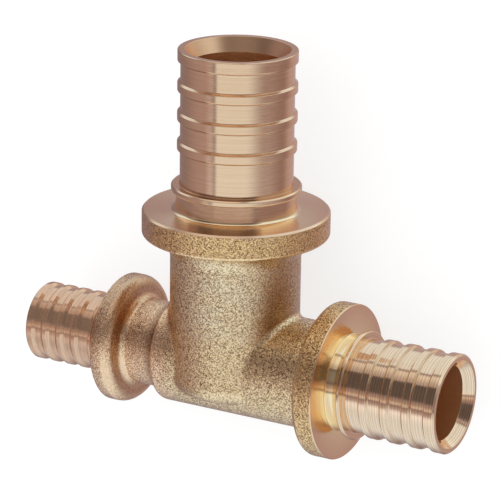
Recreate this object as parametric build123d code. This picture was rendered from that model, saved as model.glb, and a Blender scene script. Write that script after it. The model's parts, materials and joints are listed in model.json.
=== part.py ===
from build123d import *
import math
import os

# Reducing tee for sliding-sleeve plastic pipe: one piece of brass, forged to its outer form and
# turned on its three spigots. All three openings differ in size.
# It is modelled with the run along X, the branch along Y and its front towards +Z, and the origin
# is where the two axes cross. At the end it is tilted until its three flanges lie on one level.
# Heights along a spigot are measured from the crossing of the axes, outwards. A first rib is measured
# from its collar, and the others stand evenly between it and the tip.

# Branch, for pipe of 32 mm
branch_reach = 70.45
branch_bore_r = 10.0
branch_mouth_r = 11.45
branch_mouth_depth = 3.15
branch_barrel_r = 12.35
branch_rib_r = 13.0
branch_first_rib = 7.9
branch_rib_land = 1.65
branch_tip_land = 2.4
branch_rib_flank = 0.4
branch_collar_r = 14.24
branch_collar_front = 40.5
branch_collar_thickness = 1.45
branch_groove_r = 12.7
branch_flange_r = 20.58
branch_flange_face = 34.8
branch_flange_thickness = 5.7
branch_neck_r = 14.35

# Right end of the run, for pipe of 25 mm
right_reach = 54.1
right_bore_r = 8.15
right_mouth_r = 9.6
right_mouth_depth = 2.2
right_barrel_r = 10.3
right_rib_r = 10.88
right_first_rib = 4.05
right_rib_land = 1.5
right_tip_land = 2.35
right_rib_flank = 0.4
right_collar_r = 12.0
right_collar_front = 32.4
right_collar_thickness = 1.1
right_groove_r = 10.35
right_flange_r = 17.13
right_flange_face = 28.2
right_flange_thickness = 4.8

# Left end of the run, for pipe of 20 mm
left_reach = 49.7
left_bore_r = 6.6
left_mouth_r = 7.7
left_mouth_depth = 1.8
left_barrel_r = 8.3
left_rib_r = 8.87
left_first_rib = 3.84
left_rib_land = 0.9
left_tip_land = 1.65
left_rib_flank = 0.7
left_collar_r = 9.9
left_collar_front = 32.6
left_collar_thickness = 1.0
left_groove_r = 8.5
left_flange_r = 14.5
left_flange_face = 28.8
left_flange_thickness = 4.8
left_neck_r = 9.6

# Body, the tube of the run with the foot of the branch cylinder through it
tube_r = 11.94
tube_left_end = 15.2
tube_left_round = 1.0
tube_stock = 6.0
branch_foot = 6.7
branch_foot_round = 4.2
crossing_fillet = 1.6

# Edges
rib_count = 3
groove_fillet = 1.5
collar_chamfer = 0.3
branch_tip_chamfer = 0.15
branch_face_chamfer = 0.4
branch_back_round = 0.8
branch_back_fillet = 1.5
right_tip_chamfer = 0.4
right_face_chamfer = 0.2
right_back_round = 1.0
right_back_fillet = 0.8
left_tip_chamfer = 0.4
left_face_chamfer = 0.3
left_back_round = 2.6
left_back_fillet = 1.6
left_shoulder_fillet = 1.0

# Waterways
drill_point_angle = 118
right_bore_overrun = 11.0
near = 0.01
settling_rounds = 20


def rounded(profile, corner, radius):
    """The profile with the corner at this radius and height rounded."""
    picked = [v for v in profile.vertices() if abs(v.X - corner[0]) < near and abs(v.Z - corner[1]) < near]
    return fillet(picked, radius)


def bevelled(profile, corner, length):
    """The profile with the corner at this radius and height chamfered."""
    picked = [v for v in profile.vertices() if abs(v.X - corner[0]) < near and abs(v.Z - corner[1]) < near]
    return chamfer(picked, length)


def turned(points):
    """Half section in radius and height, with its lowest and highest points on the axis."""
    return make_face(Plane.XZ * Polyline(*points, close=True))


def ribs(reach, barrel_r, rib_r, first, land, tip_land, flank, tip_chamfer):
    """Points of the barrel's ribs, evenly spaced from the first one, at its height, to the tip's."""
    points = []
    tip_start = reach - tip_land
    for step in range(rib_count):
        start = first + (tip_start - first) * step / rib_count
        points.append((barrel_r, start - flank))
        points.append((rib_r, start))
        points.append((rib_r, start + land))
        points.append((barrel_r, start + land + flank))
    points.append((barrel_r, tip_start - flank))
    points.append((rib_r, tip_start))
    points.append((rib_r, reach - tip_chamfer))
    points.append((rib_r - tip_chamfer, reach))
    return points


def spigot(foot, neck_r, flange_r, face, thickness, back_round, back_fillet, face_chamfer, groove_r,
           collar_r, collar_front, collar_thickness, barrel_r, rib_points):
    """Outer form of one end, along +Z: neck, flange, groove, stop collar and ribbed barrel."""
    back = face - thickness
    collar_back = collar_front - collar_thickness
    outline = [(0, foot), (neck_r, foot), (neck_r, back), (flange_r, back), (flange_r, face)]
    outline += [(groove_r, face), (groove_r, collar_back), (collar_r, collar_back)]
    outline += [(collar_r, collar_front), (barrel_r, collar_front)]
    outline += rib_points
    outline.append((0, rib_points[-1][1]))
    section = turned(outline)
    section = rounded(section, (flange_r, back), back_round)
    section = rounded(section, (neck_r, back), back_fillet)
    section = rounded(section, (groove_r, face), groove_fillet)
    section = bevelled(section, (flange_r, face), face_chamfer)
    section = bevelled(section, (collar_r, collar_front), collar_chamfer)
    return section


def waterway(reach, bore_r, mouth_r, mouth_depth, bottom):
    """Bore along +Z, opened at its mouth, ending in a drill point below the given height."""
    point_depth = bore_r / math.tan(math.radians(drill_point_angle / 2))
    outline = [(0, bottom - point_depth), (bore_r, bottom), (bore_r, reach - mouth_depth), (mouth_r, reach)]
    outline.append((0, reach))
    return revolve(turned(outline), axis=Axis.Z)


def lowest_point(along, flange_r, edge_height, edge_round, up):
    """Where a flange's rounded edge touches a level plane that has this upward normal."""
    inward = (up - along * along.dot(up)).normalized()
    centre = along * (edge_height + edge_round)
    return centre - inward * (flange_r - edge_round) - up * edge_round


to_branch = Rot(-90, 0, 0)
to_right = Rot(0, 90, 0)
to_left = Rot(0, -90, 0)

branch_section = spigot(
    -branch_foot, branch_neck_r, branch_flange_r, branch_flange_face, branch_flange_thickness,
    branch_back_round, branch_back_fillet, branch_face_chamfer, branch_groove_r, branch_collar_r,
    branch_collar_front, branch_collar_thickness, branch_barrel_r,
    ribs(branch_reach, branch_barrel_r, branch_rib_r, branch_collar_front + branch_first_rib, branch_rib_land,
         branch_tip_land, branch_rib_flank, branch_tip_chamfer))
branch_section = rounded(branch_section, (branch_neck_r, -branch_foot), branch_foot_round)
branch = to_branch * revolve(branch_section, axis=Axis.Z)

right_section = spigot(
    -tube_left_end - tube_stock, tube_r, right_flange_r, right_flange_face, right_flange_thickness,
    right_back_round, right_back_fillet, right_face_chamfer, right_groove_r, right_collar_r,
    right_collar_front, right_collar_thickness, right_barrel_r,
    ribs(right_reach, right_barrel_r, right_rib_r, right_collar_front + right_first_rib, right_rib_land,
         right_tip_land, right_rib_flank, right_tip_chamfer))
right = to_right * revolve(right_section, axis=Axis.Z)

left_section = spigot(
    0, left_neck_r, left_flange_r, left_flange_face, left_flange_thickness,
    left_back_round, left_back_fillet, left_face_chamfer, left_groove_r, left_collar_r,
    left_collar_front, left_collar_thickness, left_barrel_r,
    ribs(left_reach, left_barrel_r, left_rib_r, left_collar_front + left_first_rib, left_rib_land,
         left_tip_land, left_rib_flank, left_tip_chamfer))
left = to_left * revolve(left_section, axis=Axis.Z)

# Body: the valley between the branch cylinder and the tube it stands through is filleted
body = branch + right
valley = ShapeList()
for edge in body.edges().filter_by(GeomType.BSPLINE):
    middle = edge.position_at(0.5)
    if abs(math.hypot(middle.Y, middle.Z) - tube_r) < near:
        valley.append(edge)
body = fillet(valley, crossing_fillet)

# The tube's left end is faced off, which trims the fillet there too, and its edge is rounded
stock = to_left * Pos(0, 0, tube_left_end) * Cylinder(
    branch_flange_r, 2 * tube_stock, align=(Align.CENTER, Align.CENTER, Align.MIN))
body = body - stock
rim = ShapeList()
for edge in body.edges():
    if abs(edge.position_at(0.5).X + tube_left_end) < near and edge.bounding_box().size.X < near:
        rim.append(edge)
body = fillet(rim, tube_left_round)

body = body + left
shoulder = ShapeList()
for edge in body.edges().filter_by(GeomType.CIRCLE):
    if abs(edge.radius - left_neck_r) < near and abs(edge.center().X + tube_left_end) < near:
        shoulder.append(edge)
body = fillet(shoulder, left_shoulder_fillet)

# Waterways: the branch is bored to the run's axis, and the run's two bores meet at a step to its left
body = body - to_branch * waterway(branch_reach, branch_bore_r, branch_mouth_r, branch_mouth_depth, 0)
body = body - to_right * waterway(
    right_reach, right_bore_r, right_mouth_r, right_mouth_depth, -right_bore_overrun)
body = body - to_left * waterway(left_reach, left_bore_r, left_mouth_r, left_mouth_depth, 0)

# Laid down: the plane that touches all three flanges, found by a few rounds of improvement
up = Vector(0, 0, 1)
for turn in range(settling_rounds):
    right_foot = lowest_point(
        Vector(1, 0, 0), right_flange_r, right_flange_face - right_flange_thickness, right_back_round, up)
    top_foot = lowest_point(
        Vector(0, 1, 0), branch_flange_r, branch_flange_face - branch_flange_thickness, branch_back_round, up)
    left_foot = lowest_point(Vector(-1, 0, 0), left_flange_r, left_flange_face - left_face_chamfer, 0, up)
    up = (top_foot - right_foot).cross(left_foot - right_foot).normalized()
run = Vector(1, 0, 0)
level = Plane(origin=(0, 0, 0), x_dir=run - up * run.dot(up), z_dir=up)
tee_body = level.location.inverse() * body
tee_body.label = "tee_body"

os.makedirs("parts", exist_ok=True)
export_step(tee_body, "parts/tee_body.step")
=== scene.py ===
import json
import math
import bpy
import numpy as np
from mathutils import Matrix, Vector
from mathutils.geometry import delaunay_2d_cdt


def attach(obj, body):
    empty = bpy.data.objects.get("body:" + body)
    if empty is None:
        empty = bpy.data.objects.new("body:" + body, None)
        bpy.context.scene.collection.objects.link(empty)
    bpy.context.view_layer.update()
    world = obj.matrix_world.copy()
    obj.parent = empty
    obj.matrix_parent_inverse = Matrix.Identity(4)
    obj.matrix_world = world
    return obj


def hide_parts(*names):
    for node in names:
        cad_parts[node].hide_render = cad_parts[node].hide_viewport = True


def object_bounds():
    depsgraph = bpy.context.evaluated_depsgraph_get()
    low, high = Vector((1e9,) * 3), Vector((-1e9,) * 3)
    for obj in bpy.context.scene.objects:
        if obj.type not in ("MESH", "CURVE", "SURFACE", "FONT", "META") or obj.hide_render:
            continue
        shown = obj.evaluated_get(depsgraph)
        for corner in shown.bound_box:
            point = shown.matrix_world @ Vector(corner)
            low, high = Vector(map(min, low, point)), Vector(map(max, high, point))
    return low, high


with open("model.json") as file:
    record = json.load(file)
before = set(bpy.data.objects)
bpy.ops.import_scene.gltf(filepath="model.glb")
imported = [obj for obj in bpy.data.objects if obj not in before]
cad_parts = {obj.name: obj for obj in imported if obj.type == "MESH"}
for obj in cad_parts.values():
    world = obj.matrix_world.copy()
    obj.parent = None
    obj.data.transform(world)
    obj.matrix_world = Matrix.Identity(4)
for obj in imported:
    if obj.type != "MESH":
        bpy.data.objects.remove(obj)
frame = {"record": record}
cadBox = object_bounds()

# The tee's own axes, in the frame: along the run to its right end, along the branch, and out of its front
mounts = {mount["name"]: mount for mount in frame["record"]["mounts"]}
runAxis = np.array(mounts["right_spigot"]["axis"], float)
branchAxis = np.array(mounts["branch_spigot"]["axis"], float)
frontAxis = np.cross(runAxis, branchAxis)
teeAxes = np.stack([runAxis, branchAxis, frontAxis], axis=1)
mm = 0.001
print("frame loaded, its box in mm:", [round(c / mm, 1) for corner in cadBox for c in corner])

# Sizes of the three ends in mm: heights are measured along each end's axis from the crossing of the axes
branchEnd = {
    "reach": 70.45, "boreR": 10.0, "mouthR": 11.45, "mouthDepth": 3.15, "barrelR": 12.35,
    "ribR": 13.0, "ribLand": 1.65, "tipLand": 2.4, "ribFlank": 0.4, "firstRib": 7.9, "tipChamfer": 0.15,
    "collarR": 14.24, "collarFront": 40.5, "collarThickness": 1.45, "grooveR": 13.0,
    "flangeR": 20.58, "flangeFace": 34.8, "flangeThickness": 5.7, "neckR": 14.35,
    "backRound": 0.8, "backFillet": 5.0, "faceChamfer": 0.4, "bodyRing": 19.0, "cavityRing": 13.5,
    "collarRound": 0.4, "mouthFinish": 2, "grooveFoot": [(13.4, 0, 0.9)], "grooveTop": 0.3}
rightEnd = {
    "reach": 54.1, "boreR": 8.15, "mouthR": 9.6, "mouthDepth": 2.2, "barrelR": 10.3,
    "ribR": 10.88, "ribLand": 1.5, "tipLand": 2.35, "ribFlank": 0.4, "firstRib": 4.05, "tipChamfer": 0.4,
    "collarR": 12.0, "collarFront": 32.4, "collarThickness": 1.1, "grooveR": 10.35,
    "flangeR": 17.13, "flangeFace": 28.2, "flangeThickness": 4.8, "neckR": 11.94,
    "backRound": 1.0, "backFillet": 0.8, "faceChamfer": 0.2, "bodyRing": 19.5, "cavityRing": 13.5,
    "collarRound": 0.45, "mouthFinish": 1, "grooveFoot": [(10.65, 0, 0.25), (10.35, 1.8, 1.0)], "grooveTop": 0.18}
leftEnd = {
    "reach": 49.7, "boreR": 6.6, "mouthR": 7.7, "mouthDepth": 1.8, "barrelR": 8.3,
    "ribR": 8.87, "ribLand": 0.9, "tipLand": 1.65, "ribFlank": 0.7, "firstRib": 3.84, "tipChamfer": 0.4,
    "collarR": 9.9, "collarFront": 32.6, "collarThickness": 1.0, "grooveR": 8.5,
    "flangeR": 14.5, "flangeFace": 28.8, "flangeThickness": 4.8, "neckR": 9.6,
    "backRound": 2.6, "backFillet": 1.6, "faceChamfer": 0.3, "bodyRing": 18.0, "cavityRing": 13.0,
    "collarRound": 0.3, "mouthFinish": 1, "grooveFoot": [(8.5, 0, 0.6)], "grooveTop": 0.18}
bodyForm = {
    "tubeR": 11.94, "tubeLeftEnd": 15.2, "tubeLeftRound": 1.0, "branchFoot": 6.7, "branchFootRound": 4.2,
    "crossingFillet": 1.6, "shoulderFillet": 1.0, "cavityFillet": 0.5, "drillPointAngle": 118,
    "branchBottom": 0.0, "rightBottom": -11.0, "leftBottom": 0.0}

# Fineness of the mesh, and the small roundings and chamfers that all ends share. The body is sought between two
# distances from the crossing. How a surface bends is measured over a short step; the run's and the branch's own
# roundness is taken off, and hollows right of the shoulder count only so far.
detail = {
    "around": 180, "edgeSteps": 3, "arcSteps": 7, "arcFrom": 0.5, "bodyPoints": 36000, "cavityPoints": 5000,
    "ribCount": 3, "collarChamfer": 0.3, "edgeRound": 0.1, "rootRound": 0.18, "mouthRound": 0.3,
    "nearest": 1.0, "farthest": 80.0, "halvings": 36, "slopeStep": 0.01, "bendStep": 0.12, "ownRoundness": 0.08,
    "shoulderTo": -13.5, "hollowLimit": -0.2}


# A turned outline with rounded corners. Each corner of radius R, where the direction turns by the angle a,
# is replaced by an arc that starts R*tan(a/2) before the corner; its points lie at equal angles on that arc.
# Gives radius, height, the outward normal in that half plane, length along the outline, the finish, and the bend:
# one over the rounding's radius, more than 0 on a crest and less than 0 in a hollow.
def roundedOutline(rows):
    corners = np.array([row[:2] for row in rows], float)
    rounds = np.array([row[2] for row in rows[1:-1]], float)
    finish = np.array([row[3] for row in rows], float)
    before = corners[1:-1] - corners[:-2]
    after = corners[2:] - corners[1:-1]
    before /= np.linalg.norm(before, axis=1)[:, None]
    after /= np.linalg.norm(after, axis=1)[:, None]
    turnSign = np.sign(before[:, 0] * after[:, 1] - before[:, 1] * after[:, 0])
    turnAngle = np.arccos(np.clip((before * after).sum(axis=1), -1, 1))
    sidewards = np.stack([-before[:, 1], before[:, 0]], axis=1) * turnSign[:, None]
    centre = corners[1:-1] - before * (rounds * np.tan(turnAngle / 2))[:, None] + sidewards * rounds[:, None]
    counts = np.where(rounds > detail["arcFrom"], detail["arcSteps"], detail["edgeSteps"])
    at = np.repeat(np.arange(len(rounds)), counts)
    share = (np.arange(len(at)) - np.repeat(np.cumsum(counts) - counts, counts)) / (counts[at] - 1)
    swept = (turnAngle[at] * share)[:, None]
    spoke = before[at] * np.sin(swept) - sidewards[at] * np.cos(swept)
    points = np.vstack([corners[:1], centre[at] + spoke * rounds[at][:, None], corners[-1:]])
    ends = np.array([[before[0, 1], -before[0, 0]], [after[-1, 1], -after[-1, 0]]])
    normals = np.vstack([ends[:1], spoke * turnSign[at][:, None], ends[1:]])
    along = np.concatenate([[0], np.cumsum(np.linalg.norm(np.diff(points, axis=0), axis=1))])
    blended = finish[:-2][at] * (1 - share) + finish[1:-1][at] * share
    bend = turnSign[at] / rounds[at] * np.where((share > 0) & (share < 1), 1.0, 0.0)
    return points, normals, along, np.concatenate([finish[:1], blended, finish[-1:]]), np.pad(bend, 1)


# Corners of one end's outline, from its ring on the body out to the tip and back down its bore: radius, height,
# rounding, and the finish that follows, which is 0 as cast, 1 as turned and 2 as bored
def endCorners(end):
    face, chamfer = end["flangeFace"], end["faceChamfer"]
    back = face - end["flangeThickness"]
    collarFront, collarBack = end["collarFront"], end["collarFront"] - end["collarThickness"]
    collarChamfer = detail["collarChamfer"]
    edge, root = detail["edgeRound"], detail["rootRound"]
    rows = [
        (end["neckR"], end["bodyRing"], 0, 0),
        (end["neckR"], back, end["backFillet"], 0),
        (end["flangeR"], back, end["backRound"], 0),
        (end["flangeR"], face - chamfer, edge, 1),
        (end["flangeR"] - chamfer, face, edge, 1)]
    rows += [(radius, face + height, rounding, 1) for radius, height, rounding in end["grooveFoot"]]
    rows += [
        (end["grooveR"], collarBack, end["grooveTop"], 1),
        (end["collarR"], collarBack, end["collarRound"], 1),
        (end["collarR"], collarFront - collarChamfer, edge, 1),
        (end["collarR"] - collarChamfer, collarFront, edge, 1),
        (end["barrelR"], collarFront, root, 1)]
    tipStart = end["reach"] - end["tipLand"]
    first = collarFront + end["firstRib"]
    for step in range(detail["ribCount"]):
        start = first + (tipStart - first) * step / detail["ribCount"]
        rows += [
            (end["barrelR"], start - end["ribFlank"], root, 1),
            (end["ribR"], start, edge, 1),
            (end["ribR"], start + end["ribLand"], edge, 1),
            (end["barrelR"], start + end["ribLand"] + end["ribFlank"], root, 1)]
    rows += [
        (end["barrelR"], tipStart - end["ribFlank"], root, 1),
        (end["ribR"], tipStart, edge, 1),
        (end["ribR"], end["reach"] - end["tipChamfer"], edge, 1),
        (end["ribR"] - end["tipChamfer"], end["reach"], edge, 1),
        (end["mouthR"], end["reach"], edge, end["mouthFinish"]),
        (end["boreR"], end["reach"] - end["mouthDepth"], detail["mouthRound"], 2),
        (end["boreR"], end["cavityRing"], 0, 2)]
    return rows


# Distance to a cylinder with one rounded end: the rounding of radius e is the distance to a cylinder
# that is smaller by e all round, less e. Also gives the two parts of its outward normal.
def roundedCylinder(radial, beyondEnd, rounding):
    outwards = radial + rounding
    endwards = beyondEnd + rounding
    corner = np.hypot(np.maximum(outwards, 0), np.maximum(endwards, 0))
    distance = np.minimum(np.maximum(outwards, endwards), 0) + corner - rounding
    atCorner = (outwards > 0) & (endwards > 0)
    safe = np.maximum(corner, 1e-9)
    outPart = np.where(atCorner, outwards / safe, np.where(outwards >= endwards, 1.0, 0.0))
    endPart = np.where(atCorner, endwards / safe, np.where(outwards >= endwards, 0.0, 1.0))
    return distance, outPart, endPart


# Union with a fillet: where both distances are under the reach of the fillet, a quarter circle joins them
def filletedUnion(first, second, reach):
    inFirst = np.maximum(reach - first, 0)
    inSecond = np.maximum(reach - second, 0)
    return np.maximum(reach, np.minimum(first, second)) - np.hypot(inFirst, inSecond)


# Distance to the outside of the body: the run's tube, the branch cylinder with its rounded foot standing
# through it, and the left neck. A rolling ball of radius R between walls whose normals are at the angle a
# touches each wall at R*(1 - cos a) from the other, and that is the reach of the fillet.
def bodyDistance(points):
    x, y, z = points.T
    fromRun = np.hypot(y, z)
    fromBranch = np.hypot(x, z)
    tube, tubeOut, tubeEnd = roundedCylinder(
        fromRun - bodyForm["tubeR"], -x - bodyForm["tubeLeftEnd"], bodyForm["tubeLeftRound"])
    branch, branchOut, branchEndPart = roundedCylinder(
        fromBranch - branchEnd["neckR"], -y - bodyForm["branchFoot"], bodyForm["branchFootRound"])
    runSafe, branchSafe = np.maximum(fromRun, 1e-9), np.maximum(fromBranch, 1e-9)
    tubeNormal = np.stack([-tubeEnd, tubeOut * y / runSafe, tubeOut * z / runSafe])
    branchNormal = np.stack([branchOut * x / branchSafe, -branchEndPart, branchOut * z / branchSafe])
    openness = 1 - (tubeNormal * branchNormal).sum(axis=0)
    crossing = filletedUnion(tube, branch, bodyForm["crossingFillet"] * np.maximum(openness, 1e-6))
    return filletedUnion(crossing, fromRun - leftEnd["neckR"], bodyForm["shoulderFillet"])


# Distance to the waterways: three bores, each ending in the cone of a drill's point
def cavityDistance(points):
    x, y, z = points.T
    fromRun = np.hypot(y, z)
    fromBranch = np.hypot(x, z)
    half = math.radians(bodyForm["drillPointAngle"] / 2)

    def drilled(fromAxis, height, boreR, bottom):
        cone = (bottom - (boreR - fromAxis) / math.tan(half) - height) * math.sin(half)
        return np.maximum(fromAxis - boreR, cone)

    branch = drilled(fromBranch, y, branchEnd["boreR"], bodyForm["branchBottom"])
    right = drilled(fromRun, x, rightEnd["boreR"], bodyForm["rightBottom"])
    left = drilled(fromRun, -x, leftEnd["boreR"], bodyForm["leftBottom"])
    fillet = bodyForm["cavityFillet"]
    return filletedUnion(filletedUnion(branch, right, fillet), left, fillet)


# Directions spread evenly over a sphere: equal steps of height, turned by the golden angle each time
def evenDirections(count):
    step = np.arange(count) + 0.5
    height = 1 - 2 * step / count
    angle = step * math.pi * (3 - math.sqrt(5))
    width = np.sqrt(1 - height ** 2)
    return np.stack([width * np.cos(angle), height, width * np.sin(angle)], axis=1)


# Places on a surface round the crossing of the axes, each by halving the span where its distance changes sign
def reachSurface(directions, distance):
    near = np.full(len(directions), detail["nearest"])
    far = np.full(len(directions), detail["farthest"])
    for halving in range(detail["halvings"]):
        middle = (near + far) / 2
        outside = distance(directions * middle[:, None]) > 0
        far = np.where(outside, middle, far)
        near = np.where(outside, near, middle)
    return directions * ((near + far) / 2)[:, None]


# A surface with three round holes, seen from the crossing: its directions are drawn on a plane from the pole of
# the branch, where they are joined into triangles, and the triangles inside the other two holes are left out.
def holedPatch(rings, count, distance):
    directions = evenDirections(count)
    spacing = math.sqrt(4 * math.pi / count)
    for ring in rings:
        axis = ring.mean(axis=0)
        axis /= np.linalg.norm(axis)
        halfAngle = math.acos(float(ring[0] @ axis / np.linalg.norm(ring[0])))
        directions = directions[directions @ axis < math.cos(halfAngle + 0.6 * spacing)]
    inner = reachSurface(directions, distance)
    points = np.vstack([inner] + rings)
    ringOf = np.concatenate([np.zeros(len(inner), int)] + [np.full(len(r), k + 1) for k, r in enumerate(rings)])
    unit = points / np.linalg.norm(points, axis=1)[:, None]
    flat = np.stack([unit[:, 0], unit[:, 2]], axis=1) / (1 - unit[:, 1])[:, None]
    solved = delaunay_2d_cdt([Vector(p) for p in flat.tolist()], [], [], 0, 1e-9, True)
    source = np.array([ids[0] for ids in solved[3]])
    faces = source[np.array(solved[2])]
    sameRing = (ringOf[faces] == ringOf[faces][:, :1]).all(axis=1) & (ringOf[faces][:, 0] > 0)
    faces = faces[~sameRing]
    a, b, c = points[faces[:, 0]], points[faces[:, 1]], points[faces[:, 2]]
    outwards = (np.cross(b - a, c - a) * (a + b + c)).sum(axis=1) > 0
    faces = np.where(outwards[:, None], faces, faces[:, ::-1])
    return points, faces, len(inner)


# Direction in which a distance grows, from its change over a short step each way along every axis
def surfaceNormals(points, distance):
    step = detail["slopeStep"]
    slopes = [distance(points + step * way) - distance(points - step * way) for way in np.eye(3)]
    normals = np.stack(slopes, axis=1)
    return normals / np.linalg.norm(normals, axis=1)[:, None]


# How strongly a surface bends beyond the tubes' own roundness: the distance's second change along the three axes
def surfaceBend(points, distance):
    step = detail["bendStep"]
    changes = [distance(points + step * way) + distance(points - step * way) for way in np.eye(3)]
    return (sum(changes) - 6 * distance(points)) / step ** 2 - detail["ownRoundness"]


# One end, turned round its axis: each point of the outline goes round on a circle of its radius at its height
def turnedStrip(end, axis, side):
    outline, outlineNormals, along, finish, bend = roundedOutline(endCorners(end))
    angle = 2 * math.pi * np.arange(detail["around"]) / detail["around"]
    outwards = np.cos(angle)[:, None] * side + np.sin(angle)[:, None] * np.cross(axis, side)
    points = outline[:, :1, None] * outwards + outline[:, 1, None, None] * axis
    normals = outlineNormals[:, :1, None] * outwards + outlineNormals[:, 1, None, None] * axis
    return points, normals, along, finish, bend


# The whole tee as one closed skin, in mm on its own axes. The strips come first, row by row, and the two patches
# are joined to them at the rings, whose points they share.
def teeSkin():
    x, y, z = np.eye(3)
    strips = [turnedStrip(branchEnd, y, z), turnedStrip(rightEnd, x, y), turnedStrip(leftEnd, -x, z)]
    around = detail["around"]
    points, normals, finish, bends, quads, corners = [], [], [], [], [], []
    bodyRings, cavityRings, total = [], [], 0
    for strip, stripNormals, stripAlong, stripFinish, stripBend in strips:
        rows = len(strip)
        index = total + np.arange(rows * around).reshape(rows, around)
        nextRound = np.roll(index, -1, axis=1)
        quads.append(np.stack([index[:-1], nextRound[:-1], nextRound[1:], index[1:]], axis=2).reshape(-1, 4))
        turn = np.arange(around) / around
        low, high = np.broadcast_to(turn, (rows - 1, around)), np.broadcast_to(turn + 1 / around, (rows - 1, around))
        start, end = (np.broadcast_to(a[:, None], (rows - 1, around)) for a in (stripAlong[:-1], stripAlong[1:]))
        uv = np.stack([low, start, high, start, high, end, low, end], axis=2)
        corners.append(uv.reshape(-1, 2))
        points.append(strip.reshape(-1, 3))
        normals.append(stripNormals.reshape(-1, 3))
        finish.append(np.repeat(np.round((stripFinish[:-1] + stripFinish[1:]) / 2 + 0.001).astype(int), around))
        bends.append(np.repeat(stripBend, around))
        bodyRings.append((strip[0], index[0]))
        cavityRings.append((strip[-1], index[-1]))
        total += rows * around
    triangles = []
    patches = [
        (bodyRings, detail["bodyPoints"], bodyDistance, 1, 0),
        (cavityRings, detail["cavityPoints"], cavityDistance, -1, 2)]
    for rings, count, distance, facing, patchFinish in patches:
        patch, faces, inner = holedPatch([ring for ring, index in rings], count, distance)
        lookUp = np.concatenate([total + np.arange(inner)] + [index for ring, index in rings])
        triangles.append(lookUp[faces[:, ::facing]])
        points.append(patch[:inner])
        normals.append(facing * surfaceNormals(patch[:inner], distance))
        finish.append(np.full(len(faces), patchFinish))
        bend = surfaceBend(patch[:inner], distance) * (patchFinish == 0)
        limited = np.maximum(bend, detail["hollowLimit"])
        bends.append(np.where(patch[:inner, 0] > detail["shoulderTo"], limited, bend))
        corners.append(patch[faces[:, ::facing]].reshape(-1, 3)[:, :2])
        total += inner
    return (np.vstack(points), np.vstack(normals), np.concatenate(finish), np.concatenate(bends),
            np.vstack(quads), np.vstack(triangles), np.vstack(corners))


points, normals, faceFinish, bends, quads, triangles, uvCorners = teeSkin()
teeMesh = bpy.data.meshes.new("teeBrass")
teeMesh.from_pydata((points @ teeAxes.T * mm).tolist(), [], quads.tolist() + triangles.tolist(), shade_flat=False)
uvLayer = teeMesh.uv_layers.new(name="turning")
uvLayer.data.foreach_set("uv", uvCorners.ravel())


# Share from 0 to 1, with a soft start and end
def softly(values, low, high):
    share = np.clip((values - low) / (high - low), 0, 1)
    return share * share * (3 - 2 * share)


def between(values, low, high):
    return (values > low) & (values < high)


# Where the finish changes over the skin: the cast rims, the turned faces of the flanges, a painted reflection of
# brighter gold in the hollows at the feet of the right end and of the branch's front, painted shade, which fills the
# creases and the shoulder, lies on the left neck and the bead and thins out on the side of the body that faces right,
# and painted shade in the roots of the left end's and branch's ribs.
# Distances are in mm along the run, along the branch or, with an R, out from an axis; creases and roots are found by
# their bend, and the side that faces right by its normal. A pair is a band, or where a soft edge starts and ends, and
# a share is the strength of its mask.
places = {
    "runRim": 22, "runRimR": 13.2, "branchRim": 27, "branchRimR": 16.5,
    "branchFaceHalf": 0.3, "branchFaceR": 14, "rightFaceHalf": 0.1, "rightFaceR": 11,
    "rightHollow": (28.0, 31.5), "rightHollowR": (15.8, 14.3), "branchHollow": (34.6, 35.5),
    "branchHollowR": (20.2, 17.0), "branchHollowSide": (-4.0, 8.0), "branchHollowShare": 0.75,
    "crease": (-0.72, -1.0), "shoulder": (-18.6, -16.2), "shoulderTo": -14.9, "shoulderR": 11.6, "shoulderShare": 0.85,
    "neck": (-22.0, -15.0), "neckR": (12.0, 10.5), "neckShare": 0.16,
    "beadTop": (7.0, 12.0), "beadLeft": (-26.6, -28.2), "beadTo": -22.0, "beadShare": 0.4,
    "facingRight": (0.78, 0.95), "facingTo": 23.2, "facingUnder": 29, "facingShare": 0.36,
    "warmBelow": (14.0, 6.0), "warmShare": 0.5, "rootShadeBend": (-0.8, -3.5), "rootShadeTo": 20.0, "rootShadeShare": 0.75}
x, y, z = points.T
fromRun, fromBranch = np.hypot(y, z), np.hypot(x, z)
onRim = ((np.abs(x) > places["runRim"]) & (fromRun > places["runRimR"])) | (
    (y > places["branchRim"]) & (fromBranch > places["branchRimR"]))
onFace = ((np.abs(y - branchEnd["flangeFace"]) < places["branchFaceHalf"]) & (fromBranch > places["branchFaceR"])) | (
    (np.abs(x - rightEnd["flangeFace"]) < places["rightFaceHalf"]) & (fromRun > places["rightFaceR"]))
# Painted reflection: brighter gold on the flange faces in the hollows at the feet of the right end and of the branch's
# front
rightHollow = softly(fromRun, *places["rightHollowR"]) * between(x, *places["rightHollow"])
branchHollow = (softly(fromBranch, *places["branchHollowR"]) * softly(x + z, *places["branchHollowSide"])
                * between(y, *places["branchHollow"]))
hollowReflection = np.maximum(rightHollow, places["branchHollowShare"] * branchHollow)
shoulder = softly(x, *places["shoulder"]) * (x < places["shoulderTo"]) * (fromRun < places["shoulderR"])
neck = softly(fromRun, *places["neckR"]) * between(x, *places["neck"])
bead = np.maximum(softly(y, *places["beadTop"]), softly(x, *places["beadLeft"])) * (x < places["beadTo"])
facing = softly(normals[:, 0], *places["facingRight"]) * ~onRim * (x < places["facingTo"]) * (y < places["facingUnder"])
# Painted shade: darker in the creases, at the shoulder, on the left neck and the bead, and on the side that faces right
paintedShade = np.max([
    softly(bends, *places["crease"]), places["shoulderShare"] * shoulder, places["neckShare"] * neck,
    places["beadShare"] * bead, places["facingShare"] * facing], axis=0)
warmth = np.maximum(onRim * 1.0, places["warmShare"] * softly(y, *places["warmBelow"]))
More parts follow.
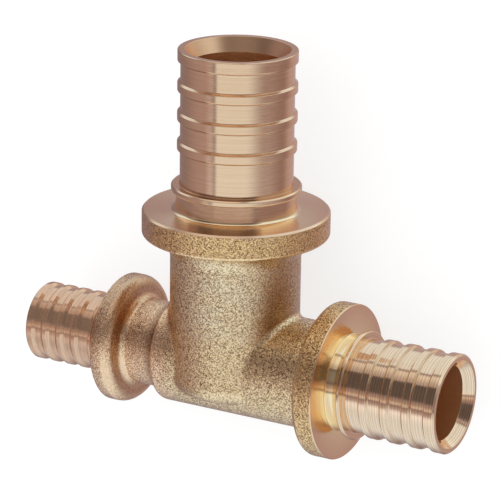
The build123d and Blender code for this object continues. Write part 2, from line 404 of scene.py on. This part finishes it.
# Painted shade in the roots of the ribs, found by their bend, except at the right end
rootShade = places["rootShadeShare"] * softly(bends, *places["rootShadeBend"]) * (x < places["rootShadeTo"])
for name, values in (("bend", bends), ("warmth", warmth), ("face", onFace * 1.0), ("hollow", hollowReflection),
                     ("paintedShade", paintedShade), ("rootShade", rootShade)):
    teeMesh.attributes.new(name, "FLOAT", "POINT").data.foreach_set("value", values)
teeMesh.normals_split_custom_set_from_vertices((normals @ teeAxes.T).tolist())
tee = bpy.data.objects.new("teeBrass", teeMesh)
bpy.context.scene.collection.objects.link(tee)
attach(tee, "root")
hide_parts("tee_body")
print("tee made:", len(quads) * 2 + len(triangles), "triangles")

# Camera at the photograph's angle: it turns round the branch, then looks down by the elevation and rolls a little.
# The crossing of the axes is seen at a pixel of the 500 x 500 picture, at a distance along the line of sight.
viewing = {
    "azimuth": 29.247, "elevation": 17.972, "roll": 0.809, "focalPixels": 2837.06, "picture": 500,
    "crossingPixel": (234.374, 358.492), "distance": 627.73, "sensor": 36.0, "clip": (0.01, 20)}
azimuth, elevation, roll = (math.radians(viewing[name]) for name in ("azimuth", "elevation", "roll"))
backwards = np.array([
    math.sin(azimuth) * math.cos(elevation), math.sin(elevation), math.cos(azimuth) * math.cos(elevation)])
level = np.cross(-backwards, [0, 1, 0])
level /= np.linalg.norm(level)
downwards = np.cross(-backwards, level)
rightwards = math.cos(roll) * level - math.sin(roll) * downwards
downwards = math.sin(roll) * level + math.cos(roll) * downwards
offset = [(pixel - viewing["picture"] / 2) * viewing["distance"] / viewing["focalPixels"]
          for pixel in viewing["crossingPixel"]]
eye = -(rightwards * offset[0] + downwards * offset[1] - backwards * viewing["distance"])
cameraData = bpy.data.cameras.new("camera")
cameraData.sensor_width = viewing["sensor"]
cameraData.lens = viewing["focalPixels"] * viewing["sensor"] / viewing["picture"]
cameraData.clip_start, cameraData.clip_end = viewing["clip"]
camera = bpy.data.objects.new("camera", cameraData)
cameraAxes = teeAxes @ np.stack([rightwards, -downwards, backwards], axis=1)
camera.matrix_world = Matrix.Translation(Vector(teeAxes @ eye * mm)) @ Matrix(cameraAxes.tolist()).to_4x4()
bpy.context.scene.collection.objects.link(camera)
bpy.context.scene.camera = camera
print("camera placed")

# Floor: a plain pale square under the tee, which glows a little, so that it is as white as the background
floorHalf = 6.0
floorLevel = cadBox[0][2]
floorCorners = [(across * floorHalf, deep * floorHalf, floorLevel)
                for across, deep in ((-1, -1), (1, -1), (1, 1), (-1, 1))]
floorMesh = bpy.data.meshes.new("floor")
floorMesh.from_pydata(floorCorners, [], [(0, 1, 2, 3)])
floor = bpy.data.objects.new("floor", floorMesh)
bpy.context.scene.collection.objects.link(floor)
floorFinish = {"Base Color": (0.36, 0.36, 0.36, 1), "Roughness": 0.9, "Specular IOR Level": 0.0,
               "Emission Color": (1, 1, 1, 1), "Emission Strength": 0.73}
floorMaterial = bpy.data.materials.new("paleFloor")
floorMaterial.use_nodes = True
for socket, value in floorFinish.items():
    floorMaterial.node_tree.nodes["Principled BSDF"].inputs[socket].default_value = value
floorMesh.materials.append(floorMaterial)
print("floor laid")


def newGroup(name, inputs, outputs):
    group = bpy.data.node_groups.new(name, "ShaderNodeTree")
    for label, kind, value in inputs:
        socket = group.interface.new_socket(label, in_out="INPUT", socket_type="NodeSocket" + kind)
        socket.default_value = value
    for label, kind in outputs:
        group.interface.new_socket(label, in_out="OUTPUT", socket_type="NodeSocket" + kind)
    return group, group.nodes.new("NodeGroupInput"), group.nodes.new("NodeGroupOutput")


def addNode(tree, kind, values=(), **settings):
    node = tree.nodes.new("ShaderNode" + kind)
    for name, value in settings.items():
        setattr(node, name, value)
    for socket, value in dict(values).items():
        if hasattr(value, "is_output"):
            tree.links.new(value, node.inputs[socket])
        else:
            node.inputs[socket].default_value = value
    return node


# Grain of a shot-blasted casting in millimetres: small dents, the share of bright metal on their crests, and slow
# cloudy changes of tone
grainForm = {"dents": 5.2, "detail": 2.0, "roughness": 0.6, "chance": 0.4, "crests": (0.33, 0.54), "clouds": 0.2}
grain, grainIn, grainOut = newGroup(
    "castGrain", [("Place", "Vector", (0, 0, 0)), ("Dents", "Float", grainForm["dents"])],
    [("Height", "Float"), ("Crest", "Float"), ("Cloud", "Float"), ("Tilt", "Vector")])
dent = addNode(grain, "TexNoise", {"Vector": grainIn.outputs["Place"], "Scale": grainIn.outputs["Dents"],
                                   "Detail": grainForm["detail"], "Roughness": grainForm["roughness"]})
facet = addNode(grain, "TexVoronoi", {"Vector": grainIn.outputs["Place"], "Scale": grainIn.outputs["Dents"]})
chance = addNode(grain, "SeparateColor", {0: facet.outputs["Color"]})
both = addNode(grain, "Mix", {0: grainForm["chance"], 2: dent.outputs["Fac"], 3: chance.outputs[0]})
crest = addNode(grain, "MapRange", {"Value": both.outputs[0], "From Min": grainForm["crests"][0],
                                    "From Max": grainForm["crests"][1]}, interpolation_type="SMOOTHSTEP")
tilt = addNode(grain, "VectorMath", {0: facet.outputs["Color"], 1: (0.5, 0.5, 0.5)}, operation="SUBTRACT")
cloud = addNode(grain, "TexNoise", {"Vector": grainIn.outputs["Place"], "Scale": grainForm["clouds"], "Detail": 3.0,
                                    "Roughness": grainForm["roughness"]})
for label, made in (("Height", dent.outputs["Fac"]), ("Crest", crest.outputs[0]), ("Cloud", cloud.outputs["Fac"]),
                    ("Tilt", tilt.outputs[0])):
    grain.links.new(made, grainOut.inputs[label])

# Marks of the turning tool: fine lines that go right round, and streaks of another tone that run a part of the way.
# The share of a turn is laid on a circle, so that nothing breaks where the turn closes.
latheForm = {"lines": 5.0, "reach": 0.8, "streaks": 5.5, "tones": 1.1}
lathe, latheIn, latheOut = newGroup(
    "latheLines", [("Place", "Vector", (0, 0, 0)), ("Lines", "Float", latheForm["lines"]),
                   ("Reach", "Float", latheForm["reach"])],
    [("Height", "Float"), ("Streak", "Float"), ("Tone", "Float")])
parts = addNode(lathe, "SeparateXYZ", {0: latheIn.outputs["Place"]})
turnAngle = addNode(lathe, "Math", {0: parts.outputs[0], 1: 2 * math.pi}, operation="MULTIPLY")
ways = [addNode(lathe, "Math", {0: turnAngle.outputs[0]}, operation=way) for way in ("COSINE", "SINE")]
onCircle = addNode(lathe, "CombineXYZ", {0: ways[0].outputs[0], 1: ways[1].outputs[0]})
spread = addNode(lathe, "VectorMath", {0: onCircle.outputs[0]}, operation="SCALE")
lathe.links.new(latheIn.outputs["Reach"], spread.inputs["Scale"])
height = addNode(lathe, "CombineXYZ", {2: parts.outputs[1]})
winding = addNode(lathe, "VectorMath", {0: spread.outputs[0], 1: height.outputs[0]}, operation="ADD")
fine = addNode(lathe, "TexNoise", {"W": parts.outputs[1], "Scale": latheIn.outputs["Lines"], "Detail": 3.0,
                                   "Roughness": 0.7}, noise_dimensions="1D")
streak = addNode(lathe, "TexNoise", {"Vector": winding.outputs[0], "Scale": latheForm["streaks"], "Detail": 2.5,
                                     "Roughness": 0.65})
tone = addNode(lathe, "TexNoise", {"W": parts.outputs[1], "Scale": latheForm["tones"], "Detail": 3.0,
                                   "Roughness": 0.7}, noise_dimensions="1D")
for label, made in (("Height", fine), ("Streak", streak), ("Tone", tone)):
    lathe.links.new(made.outputs["Fac"], latheOut.inputs[label])


def newMaterial(name, settings):
    material = bpy.data.materials.new(name)
    material.use_nodes = True
    shader = material.node_tree.nodes["Principled BSDF"]
    for socket, value in settings.items():
        shader.inputs[socket].default_value = value
    return material, material.node_tree, shader


def mixTones(tree, share, low, high):
    mix = addNode(tree, "Mix", data_type="RGBA")
    tree.links.new(share, mix.inputs["Factor"])
    for socket, tone in ((6, low), (7, high)):
        if hasattr(tone, "is_output"):
            tree.links.new(tone, mix.inputs[socket])
        else:
            mix.inputs[socket].default_value = tone
    return mix.outputs[2]


def spanned(tree, value, low, high, to=(0.0, 1.0)):
    return addNode(tree, "MapRange", {"Value": value, "From Min": low, "From Max": high, "To Min": to[0],
                                      "To Max": to[1]}, interpolation_type="SMOOTHSTEP").outputs[0]


# Cast brass: the dents hold dark oxide and the crests between them are bright, and both drift in slow clouds to a
# warmer tone, as on the rims. The left end is redder. Edges and creases are worn smooth and lighter, partly wear and
# partly a painted highlight, and painted shade lies over all of it by its own share.
castFinish = {
    "pit": (0.38, 0.2, 0.09, 1), "crest": (1.0, 0.8, 0.5, 1), "warmPit": (0.3, 0.15, 0.05, 1),
    "warmCrest": (1.0, 0.655, 0.31, 1), "leftPit": (0.54, 0.31, 0.17, 1), "leftCrest": (1.0, 0.66, 0.4, 1),
    "ridge": (1.0, 0.7, 0.4, 1), "leftRidge": (1.0, 0.67, 0.39, 1), "paintedShade": (0.34, 0.18, 0.1, 1),
    "leftFrom": -11.0, "leftBlend": 2, "clouds": (0.35, 0.65), "cloudShare": (0.0, 0.3), "edgeBend": (0.12, 0.45),
    "edgeShare": 0.6, "edgeStrength": (1.0, 0.5), "roughness": (0.2, 0.17), "leftRoughness": 0.24,
    "dentDepth": 0.08, "facetTilt": 0.3}
castBrass, tree, shader = newMaterial("castBrass", {"Metallic": 1.0})
place = addNode(tree, "TexCoord")
inMillimetres = addNode(tree, "Mapping", {"Vector": place.outputs["Object"], "Scale": (1000, 1000, 1000)})
grainHere = addNode(tree, "Group", node_tree=grain)
tree.links.new(inMillimetres.outputs[0], grainHere.inputs["Place"])
bend = addNode(tree, "Attribute", attribute_name="bend").outputs["Fac"]
bent = addNode(tree, "Math", {0: bend}, operation="ABSOLUTE").outputs[0]
polished = spanned(tree, bent, *castFinish["edgeBend"])
clouded = spanned(tree, grainHere.outputs["Cloud"], *castFinish["clouds"], castFinish["cloudShare"])
warmth = addNode(tree, "Attribute", attribute_name="warmth").outputs["Fac"]
warmed = addNode(tree, "Math", {0: warmth, 1: clouded}, operation="MAXIMUM").outputs[0]
alongRun = addNode(tree, "VectorMath", {0: place.outputs["Object"], 1: tuple(runAxis / mm)}, operation="DOT_PRODUCT")
reddened = spanned(tree, alongRun.outputs["Value"], castFinish["leftFrom"] + castFinish["leftBlend"],
                   castFinish["leftFrom"] - castFinish["leftBlend"])
pits, crests = (
    mixTones(tree, reddened, mixTones(tree, warmed, castFinish[plainTone], castFinish[warmTone]), castFinish[leftTone])
    for plainTone, warmTone, leftTone in (("pit", "warmPit", "leftPit"), ("crest", "warmCrest", "leftCrest")))
grained = mixTones(tree, grainHere.outputs["Crest"], pits, crests)
# Edges and creases: smoother, with a lighter tone that is partly a painted highlight
wearAndSheen = addNode(tree, "Math", {0: polished, 1: castFinish["edgeShare"]}, operation="MULTIPLY").outputs[0]
ridged = mixTones(tree, wearAndSheen, grained, mixTones(tree, reddened, castFinish["ridge"], castFinish["leftRidge"]))
# Painted shade over the cast brass, by its share
darkened = addNode(tree, "Attribute", attribute_name="paintedShade").outputs["Fac"]
tree.links.new(mixTones(tree, darkened, ridged, castFinish["paintedShade"]), shader.inputs["Base Color"])
gloss = spanned(tree, polished, 0.0, 1.0, castFinish["roughness"])
dulled = addNode(tree, "Mix", {0: reddened, 2: gloss, 3: castFinish["leftRoughness"]})
tree.links.new(dulled.outputs[0], shader.inputs["Roughness"])
dents = addNode(tree, "Bump", {"Height": grainHere.outputs["Height"], "Distance": castFinish["dentDepth"] * mm})
tree.links.new(spanned(tree, polished, 0.0, 1.0, castFinish["edgeStrength"]), dents.inputs["Strength"])
lean = addNode(tree, "VectorMath", {0: grainHere.outputs["Tilt"]}, operation="SCALE")
lean.inputs["Scale"].default_value = castFinish["facetTilt"]
leant = addNode(tree, "VectorMath", {0: dents.outputs[0], 1: lean.outputs[0]}, operation="ADD")
levelled = addNode(tree, "VectorMath", {0: leant.outputs[0]}, operation="NORMALIZE")
tree.links.new(levelled.outputs[0], shader.inputs["Normal"])

# Turned brass: streaks and rings of a deeper tone, which the satin faces show faintly, a painted reflection of brighter
# gold in the hollows, and painted shade in the roots of the ribs. The right end has brighter lines, and the left end
# is tarnished all over, with a thin dull film on it and a darker tone that is partly painted shade.
turnedFinish = {
    "bright": (0.88, 0.59, 0.38, 1), "streak": (0.82, 0.54, 0.33, 1), "line": (1.0, 0.8, 0.57, 1),
    "lineFoot": (0.74, 0.46, 0.25, 1), "lined": (0.12, 0.75), "hollow": (1.0, 0.79, 0.48, 1),
    "root": (0.3, 0.17, 0.09, 1), "tarnishAndShade": (0.82, 0.52, 0.33, 1), "tarnishAndShadeStreak": (0.72, 0.44, 0.27, 1),
    "lineFrom": 31.0, "tarnishFrom": -29.0, "tarnishMetal": 0.8, "roughness": (0.1, 0.15), "tarnishRoughness": 0.13,
    "faceRoughness": 0.22, "lineDepth": 0.0005, "anisotropy": 0.8, "tangentTurn": 0.25, "blend": 1,
    "streaks": (0.2, 0.36), "lineSpan": (0.42, 0.6), "glossSpan": (0.35, 0.65), "faceStreaks": 0.25, "faceLines": 0.1}
turnedBrass, tree, shader = newMaterial("turnedBrass", {
    "Anisotropic": turnedFinish["anisotropy"], "Anisotropic Rotation": turnedFinish["tangentTurn"]})
around = addNode(tree, "Tangent", direction_type="UV_MAP", uv_map="turning")
tree.links.new(around.outputs[0], shader.inputs["Tangent"])
turning = addNode(tree, "UVMap", uv_map="turning")
linesHere = addNode(tree, "Group", node_tree=lathe)
tree.links.new(turning.outputs[0], linesHere.inputs["Place"])
place = addNode(tree, "TexCoord")
alongRun = addNode(tree, "VectorMath", {0: place.outputs["Object"], 1: tuple(runAxis / mm)}, operation="DOT_PRODUCT")
# The left end: a dull film, and a darker tone that is partly painted shade
tarnishedAndShaded = spanned(tree, alongRun.outputs["Value"], turnedFinish["tarnishFrom"] + turnedFinish["blend"],
                    turnedFinish["tarnishFrom"] - turnedFinish["blend"])
streaks = addNode(tree, "Math", {0: linesHere.outputs["Streak"], 1: linesHere.outputs["Tone"]}, operation="MULTIPLY")
onFace = addNode(tree, "Attribute", attribute_name="face").outputs["Fac"]
streaked = addNode(tree, "Math", {
    0: spanned(tree, streaks.outputs[0], *turnedFinish["streaks"], (1.0, 0.0)),
    1: spanned(tree, onFace, 0.0, 1.0, (1.0, turnedFinish["faceStreaks"]))}, operation="MULTIPLY").outputs[0]
clean = mixTones(tree, streaked, turnedFinish["bright"], turnedFinish["streak"])
lines = mixTones(tree, spanned(tree, linesHere.outputs["Height"], *turnedFinish["lineSpan"]),
                 turnedFinish["lineFoot"], turnedFinish["line"])
lined = spanned(tree, alongRun.outputs["Value"], turnedFinish["lineFrom"] - turnedFinish["blend"],
                turnedFinish["lineFrom"] + turnedFinish["blend"], turnedFinish["lined"])
lined = addNode(tree, "Math", {
    0: lined, 1: spanned(tree, onFace, 0.0, 1.0, (1.0, turnedFinish["faceLines"]))}, operation="MULTIPLY")
clean = mixTones(tree, lined.outputs[0], clean, lines)
# Painted reflection: brighter gold in the hollows at the feet of the right end and of the branch's front
hollowReflection = addNode(tree, "Attribute", attribute_name="hollow").outputs["Fac"]
clean = mixTones(tree, hollowReflection, clean, turnedFinish["hollow"])
# Darker tones of the left end, partly painted shade
dull = mixTones(tree, streaked, turnedFinish["tarnishAndShade"], turnedFinish["tarnishAndShadeStreak"])
whole = mixTones(tree, tarnishedAndShaded, clean, dull)
# Painted shade in the roots of the left end's and branch's ribs
rootShaded = addNode(tree, "Attribute", attribute_name="rootShade").outputs["Fac"]
tree.links.new(mixTones(tree, rootShaded, whole, turnedFinish["root"]), shader.inputs["Base Color"])
tree.links.new(spanned(tree, tarnishedAndShaded, 0.0, 1.0, (1.0, turnedFinish["tarnishMetal"])), shader.inputs["Metallic"])
gloss = spanned(tree, linesHere.outputs["Streak"], *turnedFinish["glossSpan"], turnedFinish["roughness"])
roughened = addNode(tree, "Mix", {0: tarnishedAndShaded, 2: gloss, 3: turnedFinish["tarnishRoughness"]})
satin = addNode(tree, "Mix", {0: onFace, 2: roughened.outputs[0], 3: turnedFinish["faceRoughness"]})
tree.links.new(satin.outputs[0], shader.inputs["Roughness"])
grooves = addNode(tree, "Bump", {"Height": linesHere.outputs["Height"], "Distance": turnedFinish["lineDepth"] * mm,
                                 "Strength": 1.0})
tree.links.new(grooves.outputs[0], shader.inputs["Normal"])

# Bored brass: the drill's rougher rings, with a brown film, a darker tone in the branch's mouth, which is painted
# shade, and a lighter tone in the right end, which is painted light
boredFinish = {
    "clean": (1.0, 0.74, 0.48, 1), "film": (0.86, 0.57, 0.34, 1), "mouth": (0.9, 0.55, 0.33, 1),
    "right": (1.0, 0.76, 0.5, 1), "mouthFrom": 67.3, "rightFrom": 12.0, "blend": 0.3, "share": 0.8, "rings": 2.5,
    "filmSpan": (0.35, 0.65), "roughness": 0.36, "ringDepth": 0.004}
boredBrass, tree, shader = newMaterial("boredBrass", {"Metallic": 1.0, "Roughness": boredFinish["roughness"]})
turning = addNode(tree, "UVMap", uv_map="turning")
ringsHere = addNode(tree, "Group", node_tree=lathe)
ringsHere.inputs["Lines"].default_value = boredFinish["rings"]
tree.links.new(turning.outputs[0], ringsHere.inputs["Place"])
filmed = spanned(tree, ringsHere.outputs["Streak"], *boredFinish["filmSpan"])
place = addNode(tree, "TexCoord")
bored = mixTones(tree, filmed, boredFinish["clean"], boredFinish["film"])
# Painted shade in the branch's mouth and painted light inside the right end's bore
for axis, start, tone in ((branchAxis, "mouthFrom", "mouth"), (runAxis, "rightFrom", "right")):
    height = addNode(tree, "VectorMath", {0: place.outputs["Object"], 1: tuple(axis / mm)}, operation="DOT_PRODUCT")
    beyond = spanned(tree, height.outputs["Value"], boredFinish[start] - boredFinish["blend"],
                     boredFinish[start] + boredFinish["blend"], (0.0, boredFinish["share"]))
    bored = mixTones(tree, beyond, bored, boredFinish[tone])
tree.links.new(bored, shader.inputs["Base Color"])
rings = addNode(tree, "Bump", {"Height": ringsHere.outputs["Height"], "Distance": boredFinish["ringDepth"] * mm,
                               "Strength": 1.0})
tree.links.new(rings.outputs[0], shader.inputs["Normal"])
for material in (castBrass, turnedBrass, boredBrass):
    teeMesh.materials.append(material)
teeMesh.polygons.foreach_set("material_index", faceFinish)
print("finishes made:", [material.name for material in teeMesh.materials])

# Studio round the tee, on its own axes: azimuth runs from its front to its right, height is over the level of the
# run. A panel is bounded by edges: after or before an azimuth, above or below a height, within or outside an angle of
# the run's right-hand direction, or ahead or behind, which is within or outside an angle of the front. Every edge has
# its angle and its softness in degrees. The room is everywhere, less the gap.
studio = {
    "gap": {"colour": (0.12, 0.105, 0.11), "edges": [
        ("after", -52, 6), ("before", 68, 8), ("above", 9.5, 3.5), ("below", 44.8, 1.2)]},
    "room": {"colour": (0.29, 0.24, 0.27), "edges": [], "less": "gap"},
    "gapMiddle": {"colour": (0.1, 0.1, 0.1), "edges": [
        ("after", -18, 5), ("before", 40, 8), ("above", 14, 4), ("below", 40, 5)]},
    "lowFront": {"colour": (0.62, 0.79, 0.84), "edges": [
        ("after", -13, 4), ("before", 66, 22), ("above", -19, 5), ("below", -11, 3)]},
    "table": {"colour": (0.55, 0.75, 0.9), "edges": [("below", -19, 5), ("within", 121, 5), ("ahead", 112, 22)]},
    "tableLeft": {"colour": (0.3, 0.3, 0.3), "edges": [("below", -52, 6), ("outside", 121, 5)]},
    "skyBack": {"colour": (0.55, 0.73, 0.84), "edges": [("above", 24, 6), ("behind", 83, 3)]},
    "skyFront": {"colour": (0.32, 0.38, 0.37), "edges": [("above", 55, 4), ("before", 90, 3), ("ahead", 78, 3)]},
    "skyEdge": {"colour": (0.22, 0.22, 0.2), "edges": [("above", 44.8, 1.2), ("before", 90, 3), ("ahead", 78, 3)]},
    "leftGlow": {"colour": (0.17, 0.14, 0.15), "edges": [
        ("after", -75, 35), ("before", -20, 4), ("above", -34, 8), ("below", -11, 3)]},
    "rightWall": {"colour": (0.2, 0.25, 0.2), "edges": [
        ("after", 72, 6), ("before", 178, 8), ("above", 6, 3), ("below", 34, 8)]},
    "rightLow": {"colour": (0.04, 0.01, 0.0), "edges": [
        ("after", 72, 10), ("before", 150, 15), ("above", -34, 6), ("below", 2, 3)]},
    "backLow": {"colour": (0.24, 0.2, 0.2), "edges": [
        ("after", 147, 15), ("before", -150, 12), ("above", -40, 6), ("below", 22, 5)]},
    "sill": {"colour": (0.36, 0.34, 0.3), "edges": [
        ("after", -60, 8), ("before", 60, 8), ("above", -6.8, 1.5), ("below", -1, 3.5)]},
    "sillGlow": {"colour": (0.1, 0.08, 0.05), "edges": [
        ("after", -60, 8), ("before", 60, 8), ("above", -3, 2), ("below", 6, 4)]},
}


# The side of an edge that a panel fills: a direction, and how far along it the side starts
def panelEdge(kind, angle):
    turn = math.radians(angle)
    if kind in ("after", "before"):
        facing = 1 if kind == "after" else -1
        return facing * np.array([math.cos(turn), 0, -math.sin(turn)]), 0.0
    if kind in ("above", "below"):
        facing = 1 if kind == "above" else -1
        return np.array([0.0, facing, 0.0]), facing * math.sin(turn)
    if kind in ("within", "outside"):
        facing = 1 if kind == "within" else -1
        return np.array([float(facing), 0.0, 0.0]), facing * math.cos(turn)
    facing = 1 if kind == "ahead" else -1
    return np.array([0.0, 0.0, float(facing)]), facing * math.cos(turn)


world = bpy.data.worlds.new("studio")
world.use_nodes = True
tree = world.node_tree
background = tree.nodes["Background"]
looking = addNode(tree, "TexCoord").outputs["Generated"]
light = None
masks = {}
for name, panel in studio.items():
    mask = None
    for kind, angle, softness in panel["edges"]:
        normal, offset = panelEdge(kind, angle)
        soft = math.sin(math.radians(softness))
        height = addNode(tree, "VectorMath", {0: looking, 1: tuple(teeAxes @ normal)}, operation="DOT_PRODUCT")
        edge = addNode(tree, "MapRange", {"Value": height.outputs["Value"], "From Min": offset - soft,
                                          "From Max": offset + soft}, interpolation_type="SMOOTHSTEP")
        if mask is None:
            mask = edge.outputs[0]
        else:
            mask = addNode(tree, "Math", {0: mask, 1: edge.outputs[0]}, operation="MULTIPLY").outputs[0]
    if "less" in panel:
        mask = addNode(tree, "Math", {0: 1.0, 1: masks[panel["less"]]}, operation="SUBTRACT").outputs[0]
    masks[name] = mask
    shade = addNode(tree, "VectorMath", {0: panel["colour"]}, operation="SCALE", name=name)
    tree.links.new(mask, shade.inputs["Scale"])
    if light is None:
        light = shade.outputs[0]
    else:
        light = addNode(tree, "VectorMath", {0: light, 1: shade.outputs[0]}, operation="ADD").outputs[0]
plain = addNode(tree, "Background", {"Color": (1, 1, 1, 1), "Strength": 1.0})
seen = addNode(tree, "LightPath")
tree.links.new(light, background.inputs["Color"])
matt = addNode(tree, "Math", {0: seen.outputs["Is Camera Ray"], 1: seen.outputs["Is Diffuse Ray"]}, operation="MAXIMUM")
either = addNode(tree, "MixShader", {0: matt.outputs[0], 1: background.outputs[0], 2: plain.outputs[0]})
tree.links.new(either.outputs[0], tree.nodes["World Output"].inputs["Surface"])
bpy.context.scene.world = world
bpy.context.scene.view_settings.view_transform = "Standard"
bpy.context.scene.cycles.glossy_bounces = 16
floor.visible_glossy = False
print("studio lit:", len(studio), "panels")
